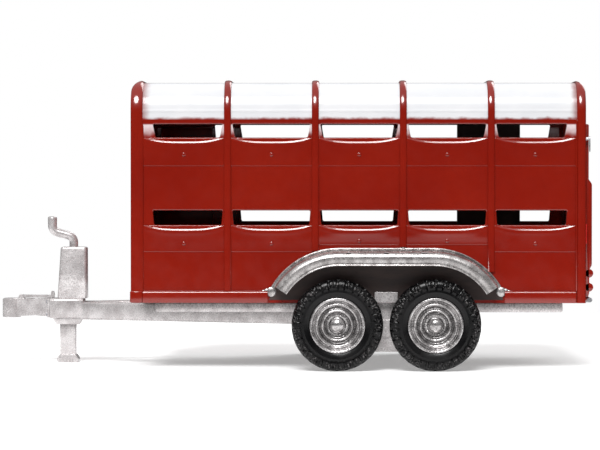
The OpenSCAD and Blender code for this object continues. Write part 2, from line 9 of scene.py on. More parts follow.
import bmesh
import bpy
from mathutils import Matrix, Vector


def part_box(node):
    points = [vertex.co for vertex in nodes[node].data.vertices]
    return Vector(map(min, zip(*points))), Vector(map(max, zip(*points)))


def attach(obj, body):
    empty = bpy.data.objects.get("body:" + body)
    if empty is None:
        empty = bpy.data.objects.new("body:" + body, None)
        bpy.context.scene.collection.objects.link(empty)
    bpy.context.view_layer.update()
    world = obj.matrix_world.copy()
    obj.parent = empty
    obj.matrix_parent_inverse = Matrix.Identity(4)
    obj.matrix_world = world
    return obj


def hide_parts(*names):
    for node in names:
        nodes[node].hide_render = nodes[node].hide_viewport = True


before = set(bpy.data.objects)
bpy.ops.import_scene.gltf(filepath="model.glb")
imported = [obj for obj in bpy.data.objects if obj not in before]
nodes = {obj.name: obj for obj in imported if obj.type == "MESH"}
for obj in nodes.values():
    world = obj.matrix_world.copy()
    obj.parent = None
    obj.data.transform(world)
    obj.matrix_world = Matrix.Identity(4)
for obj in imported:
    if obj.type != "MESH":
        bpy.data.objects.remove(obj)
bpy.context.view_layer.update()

# ---- Numbers taken from the frame, or shared with the CAD's design ----

SIDE = 0.900  # outer face of the side sheets
INNER_Y, INNER_Z, ROOF_R = 0.660, 2.064, 0.240  # centre and radius of the roof's long edges
FLOOR_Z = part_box("side_sheet_left")[0].z
SHEET_X = (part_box("side_sheet_left")[0].x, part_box("side_sheet_left")[1].x)
ROOF_X = (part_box("roof")[0].x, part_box("roof")[1].x)
ROOF_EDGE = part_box("roof")[0].z
SILL_TOP = 0.632
HOOP_PITCH = 0.703
HOOP_X = [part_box("roof_hoops")[0].x + 0.028 + k * HOOP_PITCH for k in range(4)]
POST = 0.079
LOW_SLOT = (1.160, 1.276)
HIGH_SLOT = (1.860, 2.004)
SLOT_X = (
    [(-1.106, HOOP_X[0] - POST / 2)]
    + [(HOOP_X[k] + POST / 2, HOOP_X[k + 1] - POST / 2) for k in range(3)]
    + [(HOOP_X[3] + POST / 2, 2.206)]
)
BOGIE_X = 0.761
GUARD_FLAT, GUARD_Z, GUARD_R = 0.376, 0.344, 0.608
GUARD_CUT, FLANGE_CUT = math.radians(57.0), math.radians(63.4)
GUARD_Y = 1.143
AXLE_X, AXLE_Z = 0.390, 0.365  # from the bogie's middle, and above the ground
WHEEL_Y = 1.0325
WHEELS = [
    (f"{end}_{hand}", BOGIE_X + toward * AXLE_X, side)
    for end, toward in (("front", -1), ("rear", 1)) for hand, side in (("left", -1), ("right", 1))
]


# ---- Materials ----

def srgb(r, g, b):
    """An sRGB colour, 0 to 255, as the linear one a shader takes."""
    def lin(v):
        v /= 255
        return v / 12.92 if v <= 0.04045 else ((v + 0.055) / 1.055) ** 2.4
    return (lin(r), lin(g), lin(b), 1.0)


class Shader:
    """A Principled material and the few nodes that all of the materials are made from."""

    def __init__(self, name, **sockets):
        self.mat = bpy.data.materials.new(name)
        self.mat.use_nodes = True
        self.tree = self.mat.node_tree
        self.bsdf = self.tree.nodes["Principled BSDF"]
        for key, value in sockets.items():
            self.feed(self.bsdf.inputs[key.replace("_", " ")], value)
        self.coord = self.tree.nodes.new("ShaderNodeTexCoord").outputs["Object"]

    def feed(self, socket, value):
        """Links another node's output to a socket, or sets the socket's own value."""
        if isinstance(value, bpy.types.NodeSocket):
            self.tree.links.new(value, socket)
        else:
            socket.default_value = value

    def node(self, kind, **sockets):
        n = self.tree.nodes.new(kind)
        for key, value in sockets.items():
            self.feed(n.inputs[key.replace("_", " ")], value)
        return n

    def stretched(self, scale):
        """Object coordinates multiplied by a number for each axis."""
        return self.node("ShaderNodeMapping", Vector=self.coord, Scale=scale).outputs["Vector"]

    def noise(self, scale, detail=3.0, rough=0.5, at=None):
        where = at or self.coord
        n = self.node("ShaderNodeTexNoise", Vector=where, Scale=scale, Detail=detail, Roughness=rough)
        return n.outputs["Fac"]

    def wander(self, scale, detail, size):
        """Noise that swings by half of size to either side of nought."""
        return self.math("MULTIPLY", self.math("SUBTRACT", self.noise(scale, detail), 0.5), size)

    def cells(self, scale):
        return self.node("ShaderNodeTexVoronoi", Vector=self.coord, Scale=scale).outputs["Distance"]

    def axis(self, which):
        return self.node("ShaderNodeSeparateXYZ", Vector=self.coord).outputs[which]

    def math(self, op, a, b=0.0):
        n = self.tree.nodes.new("ShaderNodeMath")
        n.operation = op
        self.feed(n.inputs[0], a)
        self.feed(n.inputs[1], b)
        return n.outputs[0]

    def ramp(self, value, low, high, out_low=0.0, out_high=1.0):
        """value's range low to high as out_low to out_high, smoothed and clamped."""
        n = self.node("ShaderNodeMapRange", Value=value, From_Min=low, From_Max=high,
                      To_Min=out_low, To_Max=out_high)
        n.interpolation_type = "SMOOTHSTEP"
        return n.outputs["Result"]

    def mix(self, factor, a, b):
        """A colour between a and b. Each is a colour or a socket."""
        n = self.node("ShaderNodeMix", Factor=factor)
        n.data_type = "RGBA"
        for key, value in (("A", a), ("B", b)):
            self.feed([i for i in n.inputs if i.name == key and i.type == "RGBA"][0], value)
        return [o for o in n.outputs if o.type == "RGBA"][0]

    def colour(self, socket):
        self.feed(self.bsdf.inputs["Base Color"], socket)

    def rough(self, socket):
        self.feed(self.bsdf.inputs["Roughness"], socket)

    def bump(self, *layers):
        """layers are (height, strength, distance in metres). They add up."""
        below = {}
        for height, strength, distance in layers:
            n = self.node("ShaderNodeBump", Height=height, Strength=strength, Distance=distance, **below)
            below = {"Normal": n.outputs["Normal"]}
        self.feed(self.bsdf.inputs["Normal"], below["Normal"])


def red_base(s):
    """Thick red enamel: a deep base with slow mottling, and specks of dust under the gloss."""
    slow = s.ramp(s.noise(1.3, 2.0), 0.3, 0.7)
    fine = s.ramp(s.noise(26.0, 4.0, 0.6), 0.35, 0.75)
    tone = s.mix(slow, srgb(128, 20, 6), srgb(136, 25, 9))
    return s.mix(s.math("MULTIPLY", fine, 0.22), tone, srgb(119, 16, 6))


def enamel_gloss(s):
    """Orange peel and a few dust nibs."""
    nibs = s.ramp(s.cells(11.0), 0.0, 0.035, 1.0, 0.0)
    s.bump((s.noise(5.0, 1.0), 0.16, 0.008), (s.noise(75.0, 2.0), 0.08, 0.001), (nibs, 0.35, 0.0022))
    s.rough(s.ramp(s.noise(9.0, 3.0), 0.3, 0.7, 0.13, 0.22))


def make_red():
    s = Shader("red_enamel", Coat_Weight=0.8, Coat_Roughness=0.04, IOR=1.45)
    s.colour(red_base(s))
    enamel_gloss(s)
    return s.mat


def make_red_body():
    """The side skin: red, with the roof's white drifting down over its top edge."""
    s = Shader("red_side_skin", Coat_Weight=0.8, Coat_Roughness=0.04, IOR=1.45)
    z = s.axis("Z")
    drift = s.ramp(s.math("ADD", z, s.wander(14.0, 4.0, 0.10)), 1.855, 1.955, 0.0, 0.88)
    header = s.ramp(z, 1.956, 1.972, 1.0, 0.0)
    drift = s.math("MULTIPLY", drift, header)
    s.colour(s.mix(drift, red_base(s), srgb(236, 222, 224)))
    enamel_gloss(s)
    return s.mat


def make_roof():
    """White enamel over red: the white thins out to red along the lower edge and at both ends."""
    s = Shader("white_enamel", Coat_Weight=0.10, Coat_Roughness=0.18, IOR=1.33)
    x, z = s.axis("X"), s.axis("Z")
    wander = s.wander(16.0, 4.0, 0.035)
    up = s.ramp(s.math("ADD", z, wander), 1.998, 2.030)
    front = s.ramp(s.math("ADD", x, wander), -1.205, -1.115, 0.25, 1.0)
    rear = s.ramp(s.math("ADD", x, wander), 2.225, 2.290, 1.0, 0.25)
    cover = s.math("MULTIPLY", s.math("MULTIPLY", up, front), rear)
    soft = s.ramp(s.noise(3.0, 3.0), 0.3, 0.7)
    white = s.mix(soft, srgb(219, 220, 223), srgb(226, 226, 228))
    s.colour(s.mix(cover, red_base(s), white))
    enamel_gloss(s)
    return s.mat


def make_silver(name, light, dark, grain, depth, rough, metal, speck, wheel=False):
    """Silver paint: bright flakes and dark pits, speck saying how coarse the casting under it is."""
    s = Shader(name, Metallic=metal, IOR=1.45)
    swell = s.noise(grain * 0.045, 2.0, 0.5)
    lump = s.noise(grain * 0.20, 3.0, 0.55)
    pits = s.noise(grain, 2.0, 0.7)
    flakes = s.ramp(s.cells(grain * 1.2), 0.05, 0.34, 1.0, 0.0)
    tone = s.mix(s.ramp(lump, 0.30, 0.70), light, dark)
    shade = tuple(c * 0.42 for c in dark[:3]) + (1.0,)
    tone = s.mix(s.ramp(pits, 0.36, 0.50, 0.6 * speck, 0.0), tone, shade)
    # on a wheel, the disc's grooves are darkened: painted shade
    if wheel:
        tone = s.mix(wheel_groove_shade(s), tone, srgb(62, 60, 60))
    bright = tuple(min(1.0, c * 1.35) for c in light[:3]) + (1.0,)
    s.colour(s.mix(s.math("MULTIPLY", flakes, speck), tone, bright))
    s.rough(s.ramp(pits, 0.35, 0.65, rough[1], rough[0]))
    s.bump((swell, 0.35, depth * 9.0), (lump, 0.10 + 0.3 * speck, depth * 3.0),
           (pits, 0.04 + speck, depth))
    return s.mat


def axle_distance(s):
    """Distance from the nearest axle. Both axles are as far from the bogie's middle."""
    from_bogie = s.math("ABSOLUTE", s.math("SUBTRACT", s.axis("X"), BOGIE_X))
    across = s.math("SUBTRACT", from_bogie, AXLE_X)
    up = s.math("SUBTRACT", s.axis("Z"), AXLE_Z)
    return s.math("SQRT", s.math("ADD", s.math("MULTIPLY", across, across), s.math("MULTIPLY", up, up)))


# (radius, half-width, how dark) of the painted shade in the grooves of a wheel's disc
GROOVES = ((0.191, 0.010, 0.35), (0.141, 0.017, 0.80), (0.092, 0.014, 0.80), (0.064, 0.009, 0.9))


def wheel_groove_shade(s):
    """How much painted shade darkens a wheel at each distance from its axle: shade painted into the grooves
    of the disc.
    """
    r = s.math("ADD", axle_distance(s), s.wander(60.0, 3.0, 0.012))
    total = 0.0
    for centre, half, most in GROOVES:
        off = s.math("ABSOLUTE", s.math("SUBTRACT", r, centre))
        total = s.math("MAXIMUM", s.ramp(off, 0.2 * half, half, most, 0.0), total)
    return total


SHOULDER_R = 0.326  # middle of the tread's shoulder blocks


def make_rubber():
    """Black rubber with pale flecks on the tread's shoulder: scuffs, and painted highlight standing in for
    glints.
    """
    s = Shader("tyre_rubber", IOR=1.36)
    slow, fine = s.noise(6.0, 4.0), s.noise(140.0, 3.0, 0.6)
    tone = s.mix(s.ramp(slow, 0.3, 0.7), srgb(6, 6, 7), srgb(12, 11, 12))
    tone = s.mix(s.ramp(fine, 0.62, 0.82, 0.0, 0.25), tone, srgb(48, 46, 46))
    from_shoulder = s.math("ABSOLUTE", s.math("SUBTRACT", axle_distance(s), SHOULDER_R))
    shoulder = s.ramp(from_shoulder, 0.018, 0.030, 1.0, 0.0)
    # pale flecks round the shoulder: scuffs, and painted highlight in place of the tread's glints
    scuffs_and_glints = s.ramp(s.noise(62.0, 3.0, 0.6), 0.55, 0.68, 0.0, 0.55)
    s.colour(s.mix(s.math("MULTIPLY", shoulder, scuffs_and_glints), tone, srgb(128, 124, 124)))
    s.rough(s.ramp(slow, 0.3, 0.7, 0.20, 0.34))
    s.bump((fine, 0.30, 0.0008), (slow, 0.15, 0.002))
    return s.mat


def make_dark(name, a, b, rough=0.5):
    """Brown-black chassis paint, brushed on in streaks. On the splash panels behind the wheels its darkness
    is painted shade.
    """
    s = Shader(name, IOR=1.45)
    streak = s.noise(9.0, 4.0, 0.6, at=s.stretched((0.6, 1.0, 2.4)))
    s.colour(s.mix(s.ramp(streak, 0.32, 0.68), a, b))
    s.rough(s.ramp(streak, 0.3, 0.7, rough - 0.08, rough + 0.12))
    s.bump((streak, 0.25, 0.003), (s.noise(120.0, 2.0), 0.2, 0.0006))
    return s.mat


def waves(s, value, times):
    """Rounded ridges, pi / times apart."""
    return s.math("ABSOLUTE", s.math("SINE", s.math("MULTIPLY", value, times)))


def make_board(name, a, b):
    """Phenolic-faced plywood with its wire-mesh print."""
    s = Shader(name, IOR=1.5)
    across = s.math("ADD", s.axis("Y"), s.axis("Z"))
    grid = s.math("MULTIPLY", waves(s, s.axis("X"), 520.0), waves(s, across, 520.0))
    wear = s.noise(5.0, 5.0, 0.6)
    s.colour(s.mix(s.ramp(wear, 0.35, 0.7), a, b))
    s.rough(s.ramp(wear, 0.3, 0.7, 0.38, 0.62))
    s.bump((grid, 0.35, 0.0006), (wear, 0.2, 0.002))
    return s.mat


def make_zinc():
    s = Shader("bright_zinc", Metallic=0.9, IOR=1.45)
    spangle = s.cells(60.0)
    s.colour(s.mix(s.ramp(spangle, 0.1, 0.6), srgb(205, 205, 208), srgb(170, 170, 175)))
    s.rough(s.ramp(s.noise(30.0, 3.0), 0.3, 0.7, 0.22, 0.42))
    s.bump((s.noise(45.0, 3.0), 0.2, 0.0008))
    return s.mat


def make_lamp():
    s = Shader("red_lens", Coat_Weight=0.8, Coat_Roughness=0.03, IOR=1.49)
    prism = waves(s, s.axis("Z"), 420.0)
    s.colour(s.mix(prism, srgb(120, 6, 4), srgb(190, 22, 14)))
    s.rough(s.ramp(prism, 0.0, 1.0, 0.12, 0.25))
    s.bump((prism, 0.4, 0.0012))
    return s.mat


RED = make_red()
RED_BODY = make_red_body()
WHITE = make_roof()
SILVER = make_silver("silver_paint", srgb(216, 212, 212), srgb(186, 181, 181), 55.0, 0.0008,
                     (0.24, 0.32), 0.50, 0.03)
SILVER_CAST = make_silver("silver_cast", srgb(226, 222, 222), srgb(192, 187, 187), 48.0, 0.0032,
                          (0.24, 0.40), 0.50, 0.60)
SILVER_GUARD = make_silver("silver_guard", srgb(214, 210, 209), srgb(158, 153, 152), 90.0, 0.0012,
                           (0.22, 0.34), 0.85, 0.22)
SILVER_WHEEL = make_silver("silver_wheel", srgb(216, 213, 213), srgb(142, 139, 139), 80.0, 0.0026,
                           (0.18, 0.32), 0.90, 0.60, wheel=True)
RUBBER = make_rubber()
# dark colours for the splash panels behind the wheels: painted shade under the mudguards
DARK = make_dark("arch_shade_paint", srgb(50, 38, 36), srgb(66, 52, 49))
FLOOR = make_board("floor_board", srgb(58, 44, 39), srgb(82, 66, 58))
BOARD = make_board("gate_board", srgb(40, 24, 21), srgb(60, 40, 36))
ZINC = make_zinc()
LAMP = make_lamp()


# ---- Mesh helpers ----

def add_object(name, data):
    obj = bpy.data.objects.new(name, data)
    bpy.context.scene.collection.objects.link(obj)
    return obj


def mesh_piece(name, verts, faces, material, sharp):
    """A smooth-shaded object with its hard edges kept."""
    mesh = bpy.data.meshes.new(name)
    mesh.from_pydata([tuple(v) for v in verts], [], faces)
    bm = bmesh.new()
    bm.from_mesh(mesh)
    bmesh.ops.remove_doubles(bm, verts=bm.verts, dist=1e-6)
    bmesh.ops.recalc_face_normals(bm, faces=bm.faces)
    bm.to_mesh(mesh)
    bm.free()
    mesh.polygons.foreach_set("use_smooth", [True] * len(mesh.polygons))
    mesh.set_sharp_from_angle(angle=math.radians(sharp))
    mesh.materials.append(material)
    return add_object(name, mesh)


def place(obj, body, node):
    """Puts a new piece on its body, in the place of a CAD node."""
    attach(obj, body)
    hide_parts(node)


def weighted(obj):
    obj.modifiers.new("normals", "WEIGHTED_NORMAL").keep_sharp = True


def turns(count):
    """Equal angles round a full turn."""
    return [2 * math.pi * k / count for k in range(count)]


def sweep(sections, closed_path, start):
    """Faces of a skin through sections, each a list of the same number of points round a loop."""
    count, total = len(sections[0]), len(sections)
    verts = [p for section in sections for p in section]
    faces = []
    for i in range(total if closed_path else total - 1):
        here, there = start + i * count, start + (i + 1) % total * count
        for k in range(count):
            l = (k + 1) % count
            faces.append((here + k, here + l, there + l, there + k))
    if not closed_path:
        for end in (start, start + (total - 1) * count):
            faces.append(tuple(end + k for k in range(count)))
    return verts, faces


class Build:
    """Collects several skins into one mesh."""

    def __init__(self):
        self.verts, self.faces = [], []

    def add(self, sections, closed_path=False):
        v, f = sweep(sections, closed_path, len(self.verts))
        self.verts += v
        self.faces += f
        return self

    def dome(self, centre, normal, radius, height, rings=6, segments=24):
        """A closed button: a rounded cap on a short straight side."""
        n = Vector(normal).normalized()
        u = n.orthogonal().normalized()
        w = n.cross(u)
        profile = [(radius, 0.0), (radius, height * 0.35)]
        profile += [
            (radius * math.cos(a), height * (0.35 + 0.65 * math.sin(a)))
            for a in [math.pi / 2 * k / rings for k in range(1, rings)]
        ]
        sections = []
        for r, h in profile:
            sections.append([
                Vector(centre) + n * h + (u * math.cos(t) + w * math.sin(t)) * r for t in turns(segments)
            ])
        return self.add(sections)

    def bar(self, start, end, width, height, r=0.004, soft=0.004):
        """A closed bar with a rounded section and softened ends. Its width lies level."""
        start, end = Vector(start), Vector(end)
        along = (end - start).normalized()
        length = (end - start).length
        up = Vector((0, 0, 1)) if abs(along.z) < 0.9 else Vector((1, 0, 0))
        across = along.cross(up).normalized()
        up = across.cross(along)
        sections = []
        for t, less in (
            (0, soft), (0.3 * soft, 0.3 * soft), (soft, 0),
            (length - soft, 0), (length - 0.3 * soft, 0.3 * soft), (length, soft),
        ):
            w, h = width / 2 - less, height / 2 - less
            loop = rounded_rect(-w, w, -h, h, max(r - less, 0.0006), 5)
            sections.append([start + along * t + across * a + up * b for a, b in loop])
        return self.add(sections)

    def block(self, low, high, r=0.002):
        """A box with every edge rounded, laid along X."""
        low, high = Vector(low), Vector(high)
        mid = (low + high) / 2
        wide, tall = high.y - low.y, high.z - low.z
        return self.bar((low.x, mid.y, mid.z), (high.x, mid.y, mid.z), wide, tall, r, r)

    def tube(self, path, segments):
        """A round tube with domed ends along (x, z, radius) points in the plane y = 0."""
        sections = []
        for i, (x, z, r) in enumerate(path):
            a, b = path[max(i - 1, 0)], path[min(i + 1, len(path) - 1)]
            t = Vector((b[0] - a[0], 0, b[1] - a[1])).normalized()
            n = Vector((-t.z, 0, t.x))
            sections.append([
                Vector((x, 0, z)) + (n * math.cos(q) + Vector((0, 1, 0)) * math.sin(q)) * r
                for q in turns(segments)
            ])
        return self.add(sections)

    def place(self, name, material, body, slot, node, sharp=40.0):
        place(mesh_piece(name, self.verts, self.faces, material, sharp), body, node)


def rounded_rect(x0, x1, z0, z1, r, steps=6):
    """Points round a rectangle with rounded corners, anticlockwise in X and Z."""
    x0, x1, z0, z1 = x0 + r, x1 - r, z0 + r, z1 - r
    out = []
    for cx, cz, a in ((x1, z1, 0), (x0, z1, 90), (x0, z0, 180), (x1, z0, 270)):
        out += arc(cx, cz, r, a, a + 90, steps)
    return out


def wheel_point(x, side, t, r, h):
    """The point at angle t, radius r and h outboard of the middle of the wheel at x."""
    return Vector((x + r * math.sin(t), side * (WHEEL_Y + h), AXLE_Z + r * math.cos(t)))


def lathe(profile, x, side, segments):
    """Sections of a closed profile of (radius, outboard) turned about a wheel's axis."""
    return [[wheel_point(x, side, t, r, h) for r, h in profile] for t in turns(segments)]


def arc(cx, cy, r, a0, a1, steps):
    """Points on an arc, angles in degrees."""
    return [
        (cx + r * math.cos(math.radians(a0 + (a1 - a0) * k / steps)),
         cy + r * math.sin(math.radians(a0 + (a1 - a0) * k / steps)))
        for k in range(steps + 1)
    ]


def bend(before, here, after, reach, steps):
    """Points round a corner, on a curve that begins and ends at reach from it."""
    a, b = here + (before - here).normalized() * reach, here + (after - here).normalized() * reach
    out = []
    for k in range(steps + 1):
        t = k / steps
        out.append(a * (1 - t) ** 2 + here * 2 * t * (1 - t) + b * t ** 2)
    return out


def smooth(v, a, b):
    t = min(1.0, max(0.0, (v - a) / (b - a)))
    return t * t * (3 - 2 * t)


def carry(node, material, bevel, segments):
    """A CAD node that stays: its edges rounded, and its material replaced."""
    obj = nodes[node]
    obj.data.materials.clear()
    obj.data.materials.append(material)
    obj.modifiers.new("weld", "WELD").merge_threshold = 0.00005
    m = obj.modifiers.new("edges", "BEVEL")
    m.width = bevel
    m.segments = segments
    m.limit_method = "ANGLE"
    m.angle_limit = math.radians(35.0)
    m.use_clamp_overlap = True
    m.harden_normals = True
    weighted(obj)


# ---- Body: side skins with their slots ----

def slot_loop(hole, grow):
    """Points round a slot whose ends lean out upwards. hole is (x0, x1, z0, z1, corner, lean)."""
    x0, x1, z0, z1, corner, lean = hole
    corners = [
        Vector((x1 + grow, z1 + grow)), Vector((x0 - grow, z1 + grow)),
        Vector((x0 - grow + lean, z0 - grow)), Vector((x1 + grow - lean, z0 - grow)),
    ]
    out = []
    for i, here in enumerate(corners):
        out += bend(corners[i - 1], here, corners[(i + 1) % 4], corner + grow, 6)
    return out


def side_skin(name, side, holes, node, fold, round_r):
    """A flat skin with holes whose edges are folded inward in a small curve. side is -1 or 1."""
    bm = bmesh.new()
    outer_y = side * SIDE

    def loop(points, y):
        return [bm.verts.new((px, y, pz)) for px, pz in points]

    def edges(verts):
        return [bm.edges.new((verts[i], verts[(i + 1) % len(verts)])) for i in range(len(verts))]

    (x0, x1), top = SHEET_X, ROOF_EDGE - 0.0005
    rim = loop([(x0, FLOOR_Z), (x1, FLOOR_Z), (x1, top), (x0, top)], outer_y)
    all_edges = edges(rim)
    rings = []
    for hole in holes:
        angles = [math.pi / 2 * k / 6 for k in range(7)]
        steps = [(round_r * (1 - math.sin(a)), round_r * (1 - math.cos(a))) for a in angles]
        steps.append((0.0, fold))
        loops = [loop(slot_loop(hole, grow), outer_y - side * depth) for grow, depth in steps]
        all_edges += edges(loops[0])
        rings.append(loops)
    bmesh.ops.triangle_fill(bm, use_beauty=True, edges=all_edges, normal=(0, side, 0))
    for loops in rings:
        for a, b in zip(loops, loops[1:]):
            for i in range(len(a)):
                j = (i + 1) % len(a)
                bm.faces.new((a[i], a[j], b[j], b[i]))
    bmesh.ops.recalc_face_normals(bm, faces=bm.faces)
    mesh = bpy.data.meshes.new(name)
    bm.normal_update()
    big = max(bm.faces, key=lambda f: f.calc_area())
    if big.normal.y * side < 0:
        bmesh.ops.reverse_faces(bm, faces=bm.faces)
    bm.to_mesh(mesh)
    bm.free()
    mesh.polygons.foreach_set("use_smooth", [True] * len(mesh.polygons))
    mesh.materials.append(RED_BODY)
    obj = add_object(name, mesh)
    solid = obj.modifiers.new("thickness", "SOLIDIFY")
    solid.thickness = 0.0025
    solid.offset = -1
    weighted(obj)
    place(obj, "trailer", node)


LEFT_HEADER, RIGHT_HEADER = 0.037, 0.014  # how far the roof's turned edge hangs into the upper slots


def slots(header, first=0):
    """Both rows of slots from bay first on. The upper ones lean out more."""
    out = []
    for a, b in SLOT_X[first:]:
        out.append((a, b, LOW_SLOT[0], LOW_SLOT[1], 0.014, 0.010))
        out.append((a, b, HIGH_SLOT[0], HIGH_SLOT[1] - header, 0.014, 0.022))
    return out


side_skin("side_skin_left", -1, slots(LEFT_HEADER), "side_sheet_left", 0.028, 0.011)
DOORWAY = (-1.155, -0.715, 0.659, 1.965, 0.020, 0.0)
FRONT_VENT = (-0.690, HOOP_X[0] - POST / 2, HIGH_SLOT[0], HIGH_SLOT[1] - RIGHT_HEADER, 0.014, 0.012)
right_holes = slots(RIGHT_HEADER, 1) + [DOORWAY, FRONT_VENT]
side_skin("side_skin_right", 1, right_holes, "side_sheet_right", 0.0135, 0.009)

# ---- Hoops and roof: a profile carried round the body's section ----

def body_path(foot):
    """(point in Y and Z, outward normal) from a foot on the left side over the roof to the right."""
    straight, curve = 12, 20

    def corner(y, a):
        n = (math.cos(a), math.sin(a))
        return (y + ROOF_R * n[0], INNER_Z + ROOF_R * n[1]), n

    path = []
    for k in range(straight + 1):
        path.append(((-SIDE, foot + (INNER_Z - foot) * k / straight), (-1.0, 0.0)))
    for k in range(1, curve + 1):
        path.append(corner(-INNER_Y, math.pi - math.pi / 2 * k / curve))
    for k in range(1, straight):
        path.append(((-INNER_Y + 2 * INNER_Y * k / straight, INNER_Z + ROOF_R), (0.0, 1.0)))
    for k in range(curve + 1):
        path.append(corner(INNER_Y, math.pi / 2 - math.pi / 2 * k / curve))
    for k in range(1, straight + 1):
        path.append(((SIDE, INNER_Z + (foot - INNER_Z) * k / straight), (1.0, 0.0)))
    return path


def hoop_profile():
    """Half-width and height above the skin, round the hoop's section."""
    crown = []
    for k in range(17):
        u = math.cos(math.pi * k / 16)
        h = (1 - abs(u) ** 2.4) ** 0.5
        crown.append((0.028 * u, 0.0095 + 0.0105 * h))
    return [(0.020, 0.0), (0.020, 0.0092)] + crown + [(-0.020, 0.0092), (-0.020, 0.0)]


def guard_height(x, r):
    """Height of the arch of radius r about the mudguard's centres, at x."""
    dx = max(0.0, abs(x - BOGIE_X) - GUARD_FLAT)
    return GUARD_Z + math.sqrt(r * r - dx * dx) if dx < r else 0.0


hoops = Build()
for hx in HOOP_X:
    foot = max(SILL_TOP, guard_height(hx, GUARD_R + 0.033))
    sections = []
    for (y, z), (ny, nz) in body_path(foot):
        sections.append([Vector((hx + u, y + ny * h, z + nz * h)) for u, h in hoop_profile()])
    hoops.add(sections)
hoops.place("roof_hoops_skin", RED, "trailer", "red_aluminium", "roof_hoops", 50.0)

FRAME_TOP, FRAME_PROUD, CORNER_R = 2.324, 0.020, 0.100
LIP, LIP_DEPTH = 0.044, 0.060
DOOR_PIN_X, DOOR_HINGES = -1.172, (0.700, 1.800)


def frame_profile(width):
    """Distance in from the frame's outer face and height above the skin, round its section."""
    crown = []
    for k in range(25):
        c = math.cos(math.pi * k / 24)
        crown.append((width / 2 * (1 + c), 0.003 + (FRAME_PROUD - 0.003) * (1 - abs(c) ** 2.3) ** 0.55))
    back = arc(0.008, -LIP_DEPTH + 0.008, 0.008, 180, 270, 4)
    back += arc(LIP - 0.004, -LIP_DEPTH + 0.004, 0.004, 270, 360, 3)
    return crown + back + [(LIP, -0.004), (width, -0.003)]


def frame_skin(build, outer, inner, guide=0.0):
    """An end frame from its outer face to its inner one, its top corner rounded in the side view.

    guide is how much wider the left post is below the roof, where it holds the first shutter.
    """
    step = 1 if inner > outer else -1
    centre = FRAME_TOP - CORNER_R
    sections = []
    for (y, z), (ny, nz) in finer(body_path(FLOOR_Z), 2):
        section = []
        wider = guide * (1 - smooth(z, ROOF_EDGE - 0.03, ROOF_EDGE)) if y < 0 else 0.0
        for u, h in frame_profile(abs(inner - outer) + wider):
            pz = z + nz * h
            if pz > centre and u < CORNER_R:
                reach = math.hypot(CORNER_R - u, pz - centre)
                if reach > CORNER_R:
                    u = CORNER_R - (CORNER_R - u) * CORNER_R / reach
                    pz = centre + (pz - centre) * CORNER_R / reach
            section.append(Vector((outer + step * u, y + ny * h, pz)))
        sections.append(section)
    return build.add(sections)


def end_frames():
    """The two frames, with their sill ends, the shutters' guide strips and the door's hinge lugs."""
    front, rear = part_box("front_frame"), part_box("rear_frame")
    front_outer, front_inner = front[0].x + 0.006, front[0].x + 0.102
    build = frame_skin(Build(), front_outer, front_inner, 0.008)
    for side in (-1, 1):
        y = sorted((side * (SIDE + 0.001), side * (SIDE + 0.024)))
        build.block((front[0].x, y[0], FLOOR_Z), (front_inner, y[1], SILL_TOP), 0.0113)
    for hinge_z in DOOR_HINGES:
        for z in (hinge_z - 0.022, hinge_z + 0.062):
            low = (front_inner - 0.008, SIDE + 0.014, z)
            build.block(low, (DOOR_PIN_X + 0.005, SIDE + 0.026, z + 0.020))
        build.dome((DOOR_PIN_X, SIDE + 0.019, hinge_z + 0.080), (0, 0, 1), 0.004, 0.003, 3, 12)
    build.place("front_frame_rounded", RED, "trailer", "red_aluminium", "front_frame", 50.0)
    rear_inner = rear[1].x - 0.072
    build = frame_skin(Build(), rear[1].x, rear_inner)
    for side in (-1, 1):
        y = sorted((side * (SIDE + 0.010), side * (SIDE + FRAME_PROUD)))
        build.block((rear_inner - 0.008, y[0], SILL_TOP), (rear_inner + 0.003, y[1], ROOF_EDGE), 0.003)
    build.place("rear_frame_rounded", RED, "trailer", "red_aluminium", "rear_frame", 50.0)


def finer(path, times):
    """The path with each gap divided."""
    out = []
    for (a, na), (b, nb) in zip(path, path[1:]):
        for k in range(times):
            t = k / times
            out.append((
                (a[0] + (b[0] - a[0]) * t, a[1] + (b[1] - a[1]) * t),
                (na[0] + (nb[0] - na[0]) * t, na[1] + (nb[1] - na[1]) * t),
            ))
    out.append(path[-1])
    return out


end_frames()


SILL_GAP = 0.948  # half of the rails' break at the mudguards


def sill_rails():
    """The rails along the foot of both sides, broken by the mudguards."""
    low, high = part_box("sill_rails")
    build = Build()
    for side in (-1, 1):
        for x0, x1 in ((low.x, BOGIE_X - SILL_GAP), (BOGIE_X + SILL_GAP, high.x)):
            loop = [(SIDE - 0.0005, FLOOR_Z), (SIDE - 0.0005, SILL_TOP)]
            loop += arc(high.y - 0.018, SILL_TOP - 0.018, 0.018, 90, 0, 8)
            loop += arc(high.y - 0.006, FLOOR_Z + 0.006, 0.006, 0, -90, 4)
            build.add([[Vector((x, side * y, z)) for y, z in loop] for x in (x0, x1)])
    build.place("sill_rails_rounded", RED, "trailer", "red_aluminium", "sill_rails")


sill_rails()


def roof_skin():
    """The roof's shell, with a rolled line along each side under its curve."""
    path = []
    for (y, z), (ny, nz) in finer(body_path(ROOF_EDGE), 3):
        bead = 0.0034 * math.exp(-(((z - 2.072) / 0.010) ** 2)) if abs(y) > INNER_Y else 0.0
        path.append((y, z, ny, nz, bead))
    loop = [(y + ny * b, z + nz * b) for y, z, ny, nz, b in path]
    loop += [(y - ny * 0.004, z - nz * 0.004) for y, z, ny, nz, b in reversed(path)]
    cuts = [ROOF_X[0] + (ROOF_X[1] - ROOF_X[0]) * k / 24 for k in range(25)]
    sections = [[Vector((x, y, z)) for y, z in loop] for x in cuts]
    Build().add(sections).place("roof_skin", WHITE, "trailer", "white_aluminium", "roof")


roof_skin()

# ---- Shutters: pressed plates with a curled upper lip and a knob ----

